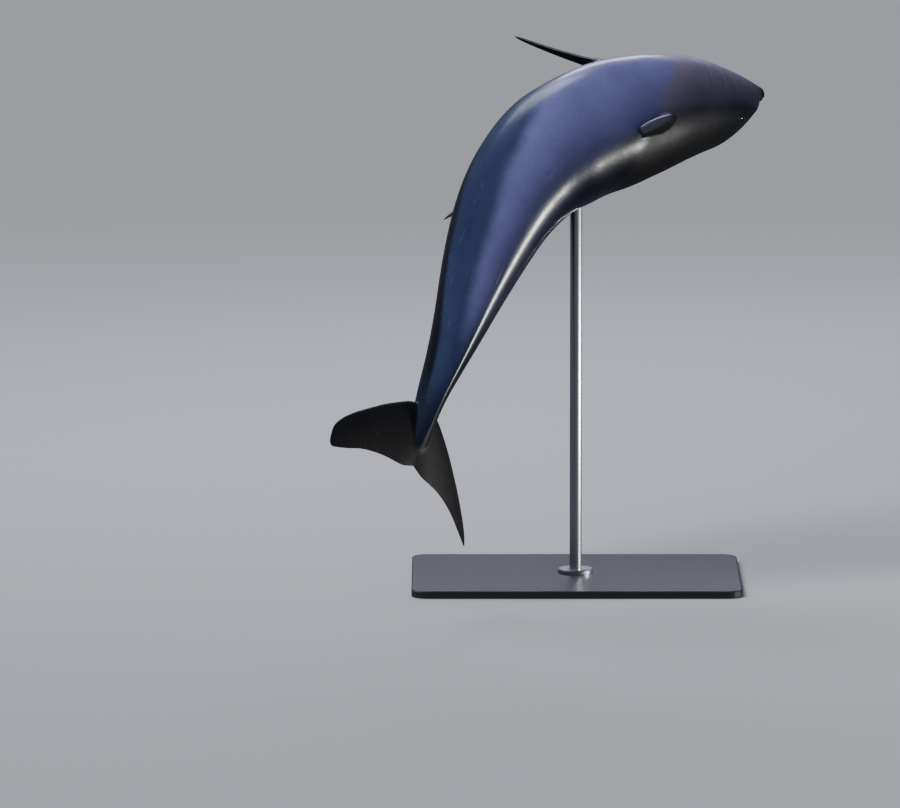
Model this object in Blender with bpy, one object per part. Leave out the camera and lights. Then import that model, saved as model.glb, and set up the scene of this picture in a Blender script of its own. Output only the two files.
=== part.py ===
"""A life-size bottlenose dolphin in mid leap, held over a flat base by one upright steel rod.

Metres, +Z up, with the origin on the floor under the middle of the object. The animal climbs
from its flukes, at low X, and bends over to swim off towards +X and +Y. Its body is one tapering
loft along a bent and twisted spine, parted by thin cuts where a person would name its parts.
"""

import bmesh
import bpy
import numpy as np

# ---------------------------------------------------------------------------------------------
# Driving sizes
# ---------------------------------------------------------------------------------------------
LENGTH = 2.60                     # along the spine, from the tip of the beak to the fluke notch
GAP = 0.0003                      # parting cut between neighbouring solids
SIDES = 32                        # facets round the body
SPINE_STEPS = 800                 # steps along the spine when it is summed up

BEAK_TIP = np.array([0.8261, 0.8521, 1.8380])

# The spine: at each fraction of the length, the angle in which the body heads above +X, the
# angle in which it heads out of the XZ plane towards +Y, and how far its back is rolled from
# the upper left round towards +Y, all in degrees.
SPINE_AT = (0.00, 0.10, 0.20, 0.30, 0.40, 0.50, 0.60, 0.72, 0.85, 0.94, 1.00)
SPINE_CLIMB = (-18, -5, 6, 12, 25, 49.5, 65, 69, 66, 74, 76)
SPINE_AWAY = (64, 56, 38, 29, 26, 26, 26, 28, 32, 37, 40)
SPINE_ROLL = (152, 151, 150, 146, 115, 81, 66, 60, 58, 57, 57)

# The body's outline, as fractions of the length at fractions of the length: the height of the
# back and the depth of the belly from the spine, the half-width, and the level of the widest
# place.
OUTLINE_AT = (
    0.000, 0.004, 0.012, 0.025, 0.037, 0.045, 0.056, 0.075, 0.105, 0.135, 0.170, 0.210,
    0.270, 0.350, 0.420, 0.500, 0.580, 0.660, 0.740, 0.820, 0.880, 0.930, 0.965, 0.990,
)
BACK = (
    -0.0130, -0.0062, -0.0025, 0.0008, 0.0045, 0.0165, 0.0375, 0.0590, 0.0735, 0.0785, 0.0800,
    0.0855, 0.0965, 0.1062, 0.1068, 0.0985, 0.0850, 0.0700, 0.0545, 0.0405, 0.0318, 0.0240,
    0.0150, 0.0040,
)
BELLY = (
    -0.0130, -0.0200, -0.0245, -0.0272, -0.0300, -0.0318, -0.0343, -0.0390, -0.0475, -0.0575,
    -0.0710, -0.0840, -0.0950, -0.1010, -0.0990, -0.0905, -0.0780, -0.0650, -0.0515, -0.0392,
    -0.0310, -0.0235, -0.0150, -0.0040,
)
HALF_WIDTH = (
    0.0000, 0.0070, 0.0115, 0.0150, 0.0185, 0.0225, 0.0305, 0.0415, 0.0525, 0.0608, 0.0686,
    0.0765, 0.0880, 0.0960, 0.0960, 0.0850, 0.0710, 0.0570, 0.0420, 0.0285, 0.0205, 0.0165,
    0.0150, 0.0120,
)
WIDEST_LEVEL = (
    -0.0130, -0.0130, -0.0132, -0.0135, -0.0138, -0.0135, -0.0125, -0.0105, -0.0090, -0.0070,
    -0.0060, -0.0060, -0.0050, -0.0030, 0.0000, 0.0000, 0.0000, 0.0000, 0.0000, 0.0000, 0.0000,
    0.0000, 0.0000, 0.0000,
)
KEEL_AT = (0.00, 0.55, 0.80, 0.92, 1.00)
KEEL = (1.00, 1.00, 1.22, 1.35, 1.15)    # 1 is an oval section, more is a section with keels

# Where the body is parted, as fractions of the length
JAW_END = 0.118
BODY_PARTS = (
    ("head", JAW_END, 0.185),
    ("neck", 0.185, 0.225),
    ("chest", 0.225, 0.335),
    ("trunk", 0.335, 0.460),
    ("loin", 0.460, 0.620),
    ("tail_stock", 0.620, 0.800),
    ("peduncle", 0.800, 0.985),
)
BODY_RING_STEP = 0.0160           # the longest facet along the body
JAW_RINGS = (
    0.0000, 0.0015, 0.004, 0.008, 0.014, 0.021, 0.029, 0.037, 0.041, 0.046, 0.051, 0.057,
    0.065, 0.075, 0.088, 0.103, JAW_END,
)
MELON_START = 0.037
MOUTH_ANGLE = 100.0               # the mouth line, in degrees round from the back
MOUTH_RISE = 8.0                  # how far it turns up at the corner of the mouth

# Eyes
EYE_AT = 0.134
EYE_ANGLE = 94.0                  # degrees round from the back
EYE_RADIUS = 0.0145
EYE_SINK = 0.0095                 # how far the eye's middle lies under the skin
EYE_FACETS = 16                   # round each eye
EYE_BANDS = 10                    # from one pole of it to the other

# Fins, in fractions of the length
FIN_ROWS = 12
FIN_CHORD_STEPS = 8
FIN_EDGE = 0.0005                 # half the thickness of a fin's trailing edge
FIN_TIP = 0.985                   # the last row, as a share of the span

# Stand
BASE_LENGTH = 1.30
BASE_WIDTH = 0.96
BASE_THICKNESS = 0.030
BASE_CORNER = 0.060
BASE_EDGE = 0.004
BASE_CORNER_STEPS = 6
STAND_MIDDLE = np.array([0.1010, 0.1670])
ROD_RADIUS = 0.024
ROD_FACETS = 32
FLANGE_RADIUS = 0.070
FLANGE_HEIGHT = 0.018
FLANGE_EDGE = 0.004
FLANGE_FACETS = 40


# ---------------------------------------------------------------------------------------------
# Smooth curves through stations
# ---------------------------------------------------------------------------------------------
def smooth(at, stations, values):
    """A cubic through the stations that never overshoots them: slopes are weighted means."""
    x = np.asarray(stations, float)
    y = np.asarray(values, float)
    step = np.diff(x)
    slope = np.diff(y) / step
    tangent = np.empty_like(y)
    tangent[0] = slope[0]
    tangent[-1] = slope[-1]
    before = 2 * step[1:] + step[:-1]
    after = step[1:] + 2 * step[:-1]
    turning = slope[:-1] * slope[1:] <= 0
    safe = np.where(turning, 1.0, slope[:-1])
    safe_next = np.where(turning, 1.0, slope[1:])
    mean = (before + after) / (before / safe + after / safe_next)
    tangent[1:-1] = np.where(turning, 0.0, mean)
    at = np.clip(np.asarray(at, float), x[0], x[-1])
    cell = np.clip(np.searchsorted(x, at) - 1, 0, len(step) - 1)
    t = (at - x[cell]) / step[cell]
    return (
        y[cell] * (1 + 2 * t) * (1 - t) ** 2
        + step[cell] * tangent[cell] * t * (1 - t) ** 2
        + y[cell + 1] * t ** 2 * (3 - 2 * t)
        + step[cell] * tangent[cell + 1] * t ** 2 * (t - 1)
    )


def unit(vector):
    return vector / np.linalg.norm(vector, axis=-1, keepdims=True)


# ---------------------------------------------------------------------------------------------
# The spine and the body round it
# ---------------------------------------------------------------------------------------------
def frames(at):
    """Forward, back and right directions of the body at fractions of its length."""
    climb = np.radians(smooth(at, SPINE_AT, SPINE_CLIMB))
    away = np.radians(smooth(at, SPINE_AT, SPINE_AWAY))
    roll = np.radians(smooth(at, SPINE_AT, SPINE_ROLL))[..., None]
    forward = np.stack(
        [np.cos(away) * np.cos(climb), np.sin(away), np.cos(away) * np.sin(climb)], -1
    )
    upper = np.stack([-np.sin(climb), np.zeros_like(climb), np.cos(climb)], -1)
    back = np.cos(roll) * upper + np.sin(roll) * np.cross(upper, forward)
    return forward, back, np.cross(forward, back)


STEP_AT = np.linspace(0.0, 1.0, SPINE_STEPS + 1)
STEP_MIDDLE = (STEP_AT[1:] + STEP_AT[:-1]) / 2
SPINE_POINTS = BEAK_TIP - np.vstack(
    [np.zeros(3), np.cumsum(frames(STEP_MIDDLE)[0], axis=0)]
) * (LENGTH / SPINE_STEPS)


def spine(at):
    """Points of the spine at fractions of its length."""
    return np.stack([np.interp(at, STEP_AT, SPINE_POINTS[:, axis]) for axis in range(3)], -1)


def skin(at, angle, grow=0.0):
    """Points of the body's surface: at fractions of the length, angles round from the back."""
    at, angle = np.broadcast_arrays(np.asarray(at, float), np.asarray(angle, float))
    level = LENGTH * smooth(at, OUTLINE_AT, WIDEST_LEVEL)
    above = LENGTH * smooth(at, OUTLINE_AT, BACK) - level + grow
    below = level - LENGTH * smooth(at, OUTLINE_AT, BELLY) + grow
    half = LENGTH * smooth(at, OUTLINE_AT, HALF_WIDTH) + grow
    keel = smooth(at, KEEL_AT, KEEL)
    rise = np.cos(angle)
    side = np.sign(np.sin(angle)) * np.abs(np.sin(angle)) ** keel
    height = level + np.where(rise > 0, above, below) * rise
    _, back, right = frames(at)
    return spine(at) + back * height[..., None] + right * (half * side)[..., None]


# ---------------------------------------------------------------------------------------------
# Meshes
# ---------------------------------------------------------------------------------------------
def material(name, colour, roughness, metallic=0.0):
    made = bpy.data.materials.new(name)
    made.use_nodes = True
    surface = made.node_tree.nodes["Principled BSDF"]
    surface.inputs["Base Color"].default_value = (*colour, 1.0)
    surface.inputs["Roughness"].default_value = roughness
    surface.inputs["Metallic"].default_value = metallic
    return made


def add_mesh(name, points, faces, finish, helper=False):
    """An object of these points and faces, with its normals turned outwards."""
    mesh = bpy.data.meshes.new(name)
    mesh.from_pydata([tuple(point) for point in points], [], faces)
    work = bmesh.new()
    work.from_mesh(mesh)
    bmesh.ops.remove_doubles(work, verts=work.verts, dist=1e-6)
    bmesh.ops.recalc_face_normals(work, faces=work.faces)
    work.to_mesh(mesh)
    work.free()
    mesh.shade_smooth()
    mesh.materials.append(finish)
    made = bpy.data.objects.new(name, mesh)
    bpy.context.scene.collection.objects.link(made)
    made.hide_render = helper
    made.display_type = "WIRE" if helper else "TEXTURED"
    return made


def loft(name, rings, finish, helper=False):
    """A closed solid through rings of points, each closed on itself, with a fan on each end."""
    rows, around, _ = rings.shape
    points = np.vstack([rings.reshape(-1, 3), rings[0].mean(axis=0), rings[-1].mean(axis=0)])
    faces = []
    for row in range(rows - 1):
        for column in range(around):
            beside = (column + 1) % around
            here = row * around + column
            next_to = row * around + beside
            over = (row + 1) * around + column
            across = (row + 1) * around + beside
            faces.append((here, next_to, across))
            faces.append((here, across, over))
    for column in range(around):
        beside = (column + 1) % around
        faces.append((rows * around, beside, column))
        faces.append((rows * around + 1, (rows - 1) * around + column, (rows - 1) * around + beside))
    return add_mesh(name, points, faces, finish, helper)


def cut(target, cutter):
    """Takes a helper's shape out of a solid."""
    modifier = target.modifiers.new("fit_to_" + cutter.name, "BOOLEAN")
    modifier.operation = "DIFFERENCE"
    modifier.solver = "EXACT"
    modifier.object = cutter


def ball(name, middle, radius, finish, helper=False):
    """A ball of bands of facets."""
    work = bmesh.new()
    bmesh.ops.create_uvsphere(work, u_segments=EYE_FACETS, v_segments=EYE_BANDS, radius=radius)
    points = [np.array(vertex.co) + middle for vertex in work.verts]
    faces = [[vertex.index for vertex in face.verts] for face in work.faces]
    work.free()
    return add_mesh(name, points, faces, finish, helper)


# ---------------------------------------------------------------------------------------------
# Body
# ---------------------------------------------------------------------------------------------
ROUND = np.linspace(0.0, 2 * np.pi, SIDES, endpoint=False)


def ring_places(start, end):
    count = int(np.ceil((end - start) / BODY_RING_STEP))
    return np.linspace(start, end, count + 1)


def parted(places):
    """Draws the first and last ring in by half the parting gap."""
    places = np.array(places, float)
    places[0] += GAP / 2 / LENGTH
    places[-1] -= GAP / 2 / LENGTH
    return places


def body_part(name, start, end, finish):
    places = parted(ring_places(start, end))
    return loft(name, skin(places[:, None], ROUND[None, :]), finish)


def body_form(name, finish):
    """The whole body behind the jaws, one gap larger all round, to fit fins and rod to it."""
    places = [ring_places(start, end) for _, start, end in BODY_PARTS]
    places = np.unique(np.concatenate(places).round(9))
    return loft(name, skin(places[:, None], ROUND[None, :], GAP), finish, helper=True)


def mouth_angle(at):
    """The mouth line's angle round from the back: level along the beak, rising at its corner."""
    return np.radians(MOUTH_ANGLE - MOUTH_RISE * np.clip(np.asarray(at) / JAW_END, 0, 1) ** 3)


def jaw_part(name, rings, upper, finish):
    """The part of the beak or forehead above, or the jaw below, a slit along the mouth line."""
    places = parted(rings)
    mouth = mouth_angle(places)[:, None]
    share = np.linspace(-1.0, 1.0, SIDES // 2 + 1)[None, :]
    if upper:
        angle = mouth * share
        lift = GAP / 2
    else:
        angle = np.pi - (np.pi - mouth) * share
        lift = -GAP / 2
    section = skin(places[:, None], angle)
    _, back, _ = frames(places)
    return loft(name, section + lift * back[:, None, :], finish)


def build_body(finish):
    jaw_rings = np.array(JAW_RINGS)
    beak_rings = jaw_rings[jaw_rings <= MELON_START]
    melon_rings = jaw_rings[jaw_rings >= MELON_START]
    jaw_part("upper_beak", beak_rings, True, finish)
    jaw_part("melon", melon_rings, True, finish)
    jaw_part("lower_jaw", jaw_rings, False, finish)
    parts = {}
    for name, start, end in BODY_PARTS:
        parts[name] = body_part(name, start, end, finish)
    return parts


def build_eyes(head, finish):
    """Two balls let into sockets in the head, each a gap larger than its eye."""
    for name, side in (("eye_right", 1.0), ("eye_left", -1.0)):
        angle = side * np.radians(EYE_ANGLE)
        surface = skin(EYE_AT, angle)
        _, back, right = frames(np.array(EYE_AT))
        outward = np.cos(angle) * back + np.sin(angle) * right
        middle = surface - EYE_SINK * outward
        ball(name, middle, EYE_RADIUS, finish)
        cut(head, ball(name + "_socket", middle, EYE_RADIUS + GAP, finish, helper=True))


# ---------------------------------------------------------------------------------------------
# Fins
# ---------------------------------------------------------------------------------------------
def aerofoil(share):
    """Half the thickness of a fin along its chord, 1 at the thickest place."""
    return (
        1.4845 * np.sqrt(share) - 0.63 * share - 1.758 * share ** 2
        + 1.4215 * share ** 3 - 0.518 * share ** 4
    ) * 2.0


def fin_rings(shape, root, chord, span, normal):
    """Rings from a fin's root to its tip, closer together towards the tip. shape holds, at
    shares of the span, how far the leading and trailing edges lie back along the chord and
    the half-thickness, then how far the tip bends over and how far it is twisted."""
    rows = shape["root"] + (FIN_TIP - shape["root"]) * np.sin(
        np.linspace(0.0, np.pi / 2, FIN_ROWS)
    )
    lead = LENGTH * smooth(rows, shape["at"], shape["lead"])
    trail = LENGTH * smooth(rows, shape["at"], shape["trail"])
    thick = LENGTH * smooth(rows, shape["at"], shape["thick"])
    bend = LENGTH * shape["bend"] * np.clip(rows, 0, None) ** 2
    out = LENGTH * shape["span"] * rows
    share = (1 - np.cos(np.linspace(0, np.pi, FIN_CHORD_STEPS + 1))) / 2
    upper = np.maximum(aerofoil(share), 0.0)
    offset = upper[None, :] * thick[:, None] + FIN_EDGE * share[None, :]
    along = lead[:, None] + (trail - lead)[:, None] * share[None, :]
    along = np.hstack([along, along[:, :0:-1]])
    offset = np.hstack([offset, -offset[:, :0:-1]]) + bend[:, None]
    twist = np.radians(shape["twist"]) * rows[:, None, None]
    chords = np.cos(twist) * chord + np.sin(twist) * normal
    return (
        root
        + along[..., None] * chords
        + out[:, None, None] * span
        + offset[..., None] * normal
    )


DORSAL_FIN = {
    "at": (-0.6, 0.0, 0.25, 0.50, 0.75, 0.92, 1.0),
    "lead": (-0.070, -0.040, -0.012, 0.014, 0.044, 0.074, 0.100),
    "trail": (0.075, 0.066, 0.056, 0.060, 0.077, 0.096, 0.108),
    "thick": (0.0110, 0.0085, 0.0064, 0.0048, 0.0032, 0.0020, 0.0008),
    "span": 0.092,
    "root": -0.42,
    "bend": 0.024,
    "twist": 0.0,
}
DORSAL_FIN_AT = 0.466

FLIPPER = {
    "at": (-0.25, 0.0, 0.25, 0.50, 0.75, 0.92, 1.0),
    "lead": (-0.028, -0.024, -0.014, 0.003, 0.026, 0.048, 0.064),
    "trail": (0.030, 0.033, 0.041, 0.052, 0.062, 0.068, 0.071),
    "thick": (0.0096, 0.0088, 0.0069, 0.0054, 0.0040, 0.0028, 0.0014),
    "span": 0.165,
    "root": -0.22,
    "bend": 0.0,
    "twist": 0.0,
}
FLIPPER_AT = 0.298
FLIPPER_ROOT_ANGLE = 115.0

FLUKE = {
    "at": (0.0, 0.14, 0.35, 0.60, 0.80, 0.90, 0.96, 1.0),
    "lead": (-0.096, -0.094, -0.076, -0.045, -0.016, 0.003, 0.020, 0.040),
    "trail": (0.010, 0.020, 0.023, 0.033, 0.049, 0.056, 0.059, 0.059),
    "thick": (0.0080, 0.0072, 0.0058, 0.0045, 0.0033, 0.0024, 0.0016, 0.0007),
    "span": 0.156,
    "root": 0.0,
    "bend": 0.0,
    "twist": 0.0,
}
FLUKE_AT = 1.0

# How each fin is held: the side it is on, the angle round from the back in which it points,
# how far it is swept back from straight out, and how far it is feathered, in degrees, then
# its bend at the tip, as a fraction of the length.
FLIPPER_HOLDS = (
    ("flipper_left", -1.0, 138.5, 16.0, -14.0, 0.004),
    ("flipper_right", 1.0, 62.5, 1.7, 33.0, 0.008),
)
FLUKE_HOLDS = (
    ("fluke_left", -1.0, 0.060, -18.0),
    ("fluke_right", 1.0, 0.014, -9.0),
)


def turned(vector, axis, degrees):
    """A vector turned about a unit axis."""
    angle = np.radians(degrees)
    return (
        vector * np.cos(angle)
        + np.cross(axis, vector) * np.sin(angle)
        + axis * (vector @ axis) * (1 - np.cos(angle))
    )


def build_dorsal_fin(form, finish):
    forward, back, right = frames(np.array(DORSAL_FIN_AT))
    rings = fin_rings(DORSAL_FIN, skin(DORSAL_FIN_AT, 0.0), -forward, back, right)
    cut(loft("dorsal_fin", rings, finish), form)


def build_flippers(form, finish):
    for name, side, points_to, sweep, feather, bend in FLIPPER_HOLDS:
        forward, back, right = frames(np.array(FLIPPER_AT))
        angle = np.radians(points_to)
        outward = np.cos(angle) * back + side * np.sin(angle) * right
        span = np.cos(np.radians(sweep)) * outward - np.sin(np.radians(sweep)) * forward
        chord = unit(-forward - (-forward @ span) * span)
        chord = turned(chord, span, side * feather)
        normal = side * np.cross(span, chord)
        root = skin(FLIPPER_AT, side * np.radians(FLIPPER_ROOT_ANGLE))
        rings = fin_rings(dict(FLIPPER, bend=bend), root, chord, span, normal)
        cut(loft(name, rings, finish), form)


def build_flukes(form, finish):
    forward, back, right = frames(np.array(FLUKE_AT))
    for name, side, bend, twist in FLUKE_HOLDS:
        root = spine(np.array(FLUKE_AT)) + side * right * GAP / 2
        shape = dict(FLUKE, bend=bend, twist=twist)
        rings = fin_rings(shape, root, -forward, side * right, back)
        cut(loft(name, rings, finish), form)


# ---------------------------------------------------------------------------------------------
# Stand
# ---------------------------------------------------------------------------------------------
def turned_solid(name, middle, profile, finish, sides):
    """A solid turned about an upright axis: radius and height at each place of its profile."""
    around = np.linspace(0.0, 2 * np.pi, sides, endpoint=False)
    rings = np.empty((len(profile), sides, 3))
    for row, (radius, height) in enumerate(profile):
        rings[row, :, 0] = middle[0] + radius * np.cos(around)
        rings[row, :, 1] = middle[1] + radius * np.sin(around)
        rings[row, :, 2] = height
    return loft(name, rings, finish)


def build_base(finish):
    """A plate with round corners and eased edges."""
    corner = np.linspace(0.0, np.pi / 2, BASE_CORNER_STEPS + 1)
    outline = []
    for turn, sign_x, sign_y in ((0, 1, 1), (1, -1, 1), (2, -1, -1), (3, 1, -1)):
        angle = corner + turn * np.pi / 2
        outline.append(np.stack([
            sign_x * (BASE_LENGTH / 2 - BASE_CORNER) + BASE_CORNER * np.cos(angle),
            sign_y * (BASE_WIDTH / 2 - BASE_CORNER) + BASE_CORNER * np.sin(angle),
        ], -1))
    outline = np.vstack(outline)
    rings = []
    for inset, height in (
        (BASE_EDGE, 0.0), (0.0, BASE_EDGE), (0.0, BASE_THICKNESS - BASE_EDGE),
        (BASE_EDGE, BASE_THICKNESS),
    ):
        shrink = 1 - 2 * inset / np.array([BASE_LENGTH, BASE_WIDTH])
        flat = outline * shrink + STAND_MIDDLE
        rings.append(np.column_stack([flat, np.full(len(flat), height)]))
    return loft("stand_base", np.array(rings), finish)


def rod_top():
    """The height of the spine over the rod: the rod is cut back from there to the skin."""
    nearest = np.argmin(np.hypot(*(SPINE_POINTS[:, :2] - STAND_MIDDLE).T))
    return SPINE_POINTS[nearest, 2]


def build_stand(form, base_finish, rod_finish):
    build_base(base_finish)
    top = BASE_THICKNESS + FLANGE_HEIGHT
    turned_solid("stand_flange", STAND_MIDDLE, (
        (FLANGE_RADIUS, BASE_THICKNESS + GAP),
        (FLANGE_RADIUS, top - FLANGE_EDGE),
        (FLANGE_RADIUS - FLANGE_EDGE, top),
    ), rod_finish, FLANGE_FACETS)
    rod = turned_solid("stand_rod", STAND_MIDDLE, (
        (ROD_RADIUS, top + GAP),
        (ROD_RADIUS, rod_top()),
    ), rod_finish, ROD_FACETS)
    cut(rod, form)


def build():
    for old in list(bpy.data.objects):
        bpy.data.objects.remove(old, do_unlink=True)
    skin_grey = material("skin", (0.16, 0.17, 0.20), 0.25)
    eye_black = material("eye", (0.010, 0.008, 0.008), 0.06)
    steel = material("steel", (0.62, 0.63, 0.65), 0.28, 1.0)
    base_paint = material("base_paint", (0.03, 0.03, 0.032), 0.45)
    parts = build_body(skin_grey)
    build_eyes(parts["head"], eye_black)
    form = body_form("body_form", skin_grey)
    build_dorsal_fin(form, skin_grey)
    build_flippers(form, skin_grey)
    build_flukes(form, skin_grey)
    build_stand(form, base_paint, steel)


build()
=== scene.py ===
"""A life-size bottlenose dolphin in mid leap, its wet skin, eyes and display stand, in a pale studio.

Metres, +Z up. The skin is one surface: a body carried along a bent and twisted spine, with its
fins let in and the joins smoothed away.
"""

import bmesh
import bpy
import numpy as np
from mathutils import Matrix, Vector


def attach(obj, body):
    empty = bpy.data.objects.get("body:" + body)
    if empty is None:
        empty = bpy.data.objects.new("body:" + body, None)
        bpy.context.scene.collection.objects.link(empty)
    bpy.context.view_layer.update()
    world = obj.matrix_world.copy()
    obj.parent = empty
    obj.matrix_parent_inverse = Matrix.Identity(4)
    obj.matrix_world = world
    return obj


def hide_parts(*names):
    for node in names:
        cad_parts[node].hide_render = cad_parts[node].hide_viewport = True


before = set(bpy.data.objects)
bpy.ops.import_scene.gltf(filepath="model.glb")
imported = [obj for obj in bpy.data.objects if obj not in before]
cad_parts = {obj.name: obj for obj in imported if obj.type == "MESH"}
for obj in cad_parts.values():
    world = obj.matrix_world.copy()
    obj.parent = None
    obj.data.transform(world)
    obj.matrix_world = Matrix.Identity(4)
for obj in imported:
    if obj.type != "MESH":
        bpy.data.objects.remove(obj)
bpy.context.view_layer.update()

# ------------------------------------------------------------------------------------------------
# Sizes, shared with the solids. The beak's tip is 0.3 mm nearer the middle than theirs, so that
# the skin stays inside their box.
# ------------------------------------------------------------------------------------------------
LENGTH = 2.60                     # along the spine, from the tip of the beak to the fluke notch
SPINE_STEPS = 800
BEAK_TIP = np.array([0.8258, 0.8520, 1.8380])

SPINE_AT = (0.00, 0.10, 0.20, 0.30, 0.40, 0.50, 0.60, 0.72, 0.85, 0.94, 1.00)
SPINE_CLIMB = (-18, -5, 6, 12, 25, 49.5, 65, 69, 66, 74, 76)
SPINE_AWAY = (64, 56, 38, 29, 26, 26, 26, 28, 32, 37, 40)
SPINE_ROLL = (152, 151, 150, 146, 115, 81, 66, 60, 58, 57, 57)

# The last stations run the body out to a thin edge inside the flukes.
OUTLINE_AT = (
    0.000, 0.004, 0.012, 0.025, 0.037, 0.045, 0.056, 0.075, 0.105, 0.135, 0.170, 0.210,
    0.270, 0.350, 0.420, 0.500, 0.580, 0.660, 0.740, 0.820, 0.880, 0.930, 0.962, 0.984, 0.997,
)
BACK = (
    -0.0130, -0.0062, -0.0025, 0.0008, 0.0045, 0.0165, 0.0375, 0.0590, 0.0735, 0.0785, 0.0800,
    0.0855, 0.0965, 0.1062, 0.1068, 0.0985, 0.0850, 0.0700, 0.0545, 0.0405, 0.0318, 0.0240,
    0.0140, 0.0045, 0.0003,
)
BELLY = (
    -0.0130, -0.0200, -0.0245, -0.0272, -0.0300, -0.0318, -0.0343, -0.0390, -0.0475, -0.0575,
    -0.0710, -0.0840, -0.0950, -0.1010, -0.0990, -0.0905, -0.0780, -0.0650, -0.0515, -0.0392,
    -0.0310, -0.0235, -0.0140, -0.0045, -0.0003,
)
HALF_WIDTH = (
    0.0000, 0.0070, 0.0115, 0.0150, 0.0185, 0.0225, 0.0305, 0.0415, 0.0525, 0.0608, 0.0686,
    0.0765, 0.0880, 0.0960, 0.0960, 0.0850, 0.0710, 0.0570, 0.0420, 0.0285, 0.0205, 0.0165,
    0.0150, 0.0120, 0.0060,
)
WIDEST_LEVEL = (
    -0.0130, -0.0130, -0.0132, -0.0135, -0.0138, -0.0135, -0.0125, -0.0105, -0.0090, -0.0070,
    -0.0060, -0.0060, -0.0050, -0.0030, 0.0000, 0.0000, 0.0000, 0.0000, 0.0000, 0.0000, 0.0000,
    0.0000, 0.0000, 0.0000, 0.0000,
)
KEEL_AT = (0.00, 0.55, 0.80, 0.92, 1.00)
KEEL = (1.00, 1.00, 1.22, 1.35, 1.15)

JAW_END = 0.118
MOUTH_ANGLE = 100.0
MOUTH_RISE = 8.0
EYE_AT = 0.134
EYE_ANGLE = 94.0
EYE_RADIUS = 0.0145
EYE_SINK = 0.0095
PUPIL_LENGTHENING = 0.62
BLOWHOLE_AT = 0.150

FIN_EDGE = 0.0005
FIN_TIP = 0.985
DORSAL_FIN = {
    "at": (-0.6, 0.0, 0.25, 0.50, 0.75, 0.92, 1.0),
    "lead": (-0.070, -0.040, -0.012, 0.014, 0.044, 0.074, 0.100),
    "trail": (0.075, 0.066, 0.056, 0.060, 0.077, 0.096, 0.108),
    "thick": (0.0110, 0.0085, 0.0064, 0.0048, 0.0032, 0.0020, 0.0008),
    "span": 0.092,
    "root": -0.42,
    "bend": 0.024,
    "twist": 0.0,
}
DORSAL_FIN_AT = 0.466
FLIPPER = {
    "at": (-0.25, 0.0, 0.25, 0.50, 0.75, 0.92, 1.0),
    "lead": (-0.028, -0.024, -0.014, 0.003, 0.026, 0.048, 0.064),
    "trail": (0.030, 0.033, 0.041, 0.052, 0.062, 0.068, 0.071),
    "thick": (0.0096, 0.0088, 0.0069, 0.0054, 0.0040, 0.0028, 0.0014),
    "span": 0.165,
    "root": -0.22,
    "bend": 0.0,
    "twist": 0.0,
}
FLIPPER_AT = 0.298
FLIPPER_ROOT_ANGLE = 115.0
FLUKE = {
    "at": (0.0, 0.14, 0.35, 0.60, 0.80, 0.90, 0.96, 1.0),
    "lead": (-0.096, -0.094, -0.076, -0.045, -0.016, 0.003, 0.020, 0.040),
    "trail": (0.010, 0.020, 0.023, 0.033, 0.049, 0.056, 0.059, 0.059),
    "thick": (0.0080, 0.0072, 0.0058, 0.0045, 0.0033, 0.0024, 0.0016, 0.0007),
    "span": 0.156,
    "root": 0.0,
}
FLUKE_AT = 1.0
FLIPPER_HOLDS = (
    ("flipper_left", -1.0, 138.5, 16.0, -14.0, 0.004),
    ("flipper_right", 1.0, 62.5, 1.7, 33.0, 0.008),
)
FLUKE_BEND = {-1.0: 0.060, 1.0: 0.014}
FLUKE_TWIST = {-1.0: -18.0, 1.0: -9.0}

# ------------------------------------------------------------------------------------------------
# Folds of the skin. A pair is a height or depth and a half-width, in metres; a pair of places
# along the body is where a fold starts and is whole, or starts to fade and is gone.
# ------------------------------------------------------------------------------------------------
MOUTH_GROOVE = (0.0042, 0.0026)
MOUTH_STARTS = (0.004, 0.012)
MOUTH_FADES = (JAW_END - 0.006, JAW_END + 0.001)
LIP = (0.0016, 0.0055)
LIP_FROM_MOUTH = 0.0085
CORNER_RIDGE = (0.0016, 0.006)
CORNER_RADIUS = 0.012
CORNER_AT = JAW_END + 0.002
CORNER_STARTS = JAW_END - 0.004

EYE_MOUND = 0.0046
EYE_MOUND_SPREAD = (0.040, 0.024)       # along the body and round it
EYE_HOLLOW = 0.0120
EYE_HOLLOW_SPREAD = (0.0150, 0.0078)
EYE_HOLLOW_EDGE = (0.62, 1.10)          # in shares of the hollow's spread, as the lid's place is
LID = (0.0014, 0.26)
LID_AT = 1.34
LID_CREASE = (0.0012, 0.14)
LID_CREASE_SPREAD = (0.024, 0.0155)

BLOWHOLE_MOUND = (0.0060, 0.045)
BLOWHOLE_GROOVE = (0.0035, 0.006)
BLOWHOLE_HALF = 0.022
BLOWHOLE_SET_BACK = 0.010
BLOWHOLE_BOW = 14.0

THROAT_CREASES = ((0.150, 0.0007), (0.172, 0.0009), (0.196, 0.0008))    # place and depth
CREASE_HALF = 0.006
CREASE_SLANT = 0.010
CREASE_STARTS = (2.1, 2.7)              # round from the back, in radians
NAVEL = (0.0030, 0.008)
NAVEL_AT = 0.505
NAVEL_LENGTHENING = 1.6
BELLY_SLIT = (0.0018, 0.0045)
BELLY_SLIT_STARTS = (0.650, 0.665)
BELLY_SLIT_FADES = (0.695, 0.710)
SHOULDER_HOLLOW = (0.0010, 0.05)
SHOULDER_ANGLE = 70.0
SHOULDER_AT = 0.235
SHOULDER_REACH = 0.03

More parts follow.
